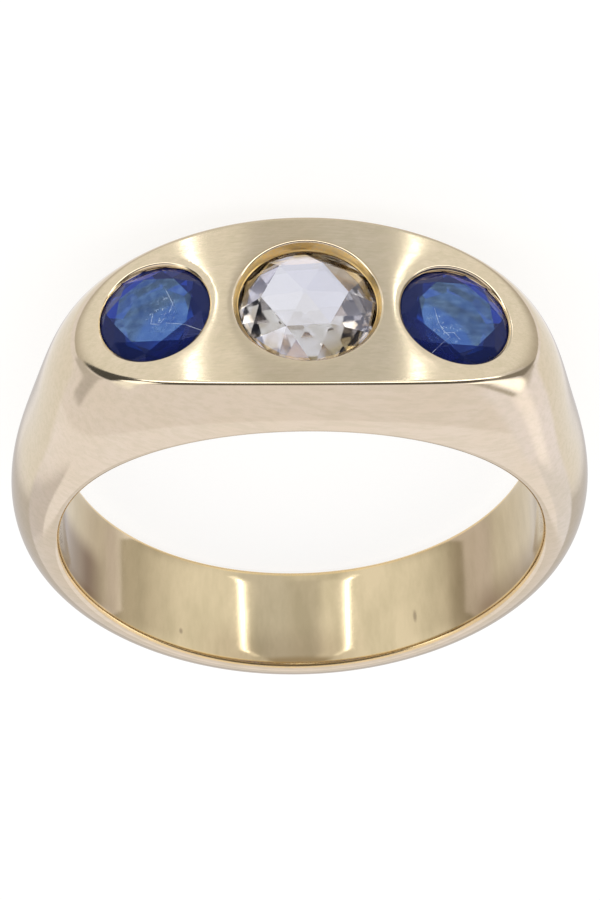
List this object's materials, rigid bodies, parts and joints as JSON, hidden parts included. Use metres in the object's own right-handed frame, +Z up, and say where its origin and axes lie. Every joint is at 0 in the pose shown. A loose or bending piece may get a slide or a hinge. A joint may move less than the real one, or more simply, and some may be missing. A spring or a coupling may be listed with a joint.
{
  "type": "three-stone band ring",
  "caption": "Yellow gold band ring with a domed head and a tapering shank, set flush with a rose-cut diamond between round blue sapphires.",
  "frame": {"origin": "on the surface that the ring lies on, under the middle of its length and width", "axes": "+Z up from that surface; the head with the stones is towards -Y; +X is towards the left sapphire"},
  "size_m": [0.0216, 0.0223, 0.009],
  "materials": {
    "gold": "polished pale yellow gold, finely worn",
    "diamond": "cut and polished, colourless",
    "sapphire": "cut and polished, deep blue, scratched tables"
  },
  "bodies": {
    "root": {"band": "gold", "diamond": "diamond", "sapphire_left": "sapphire", "sapphire_right": "sapphire"}
  },
  "joints": []
}
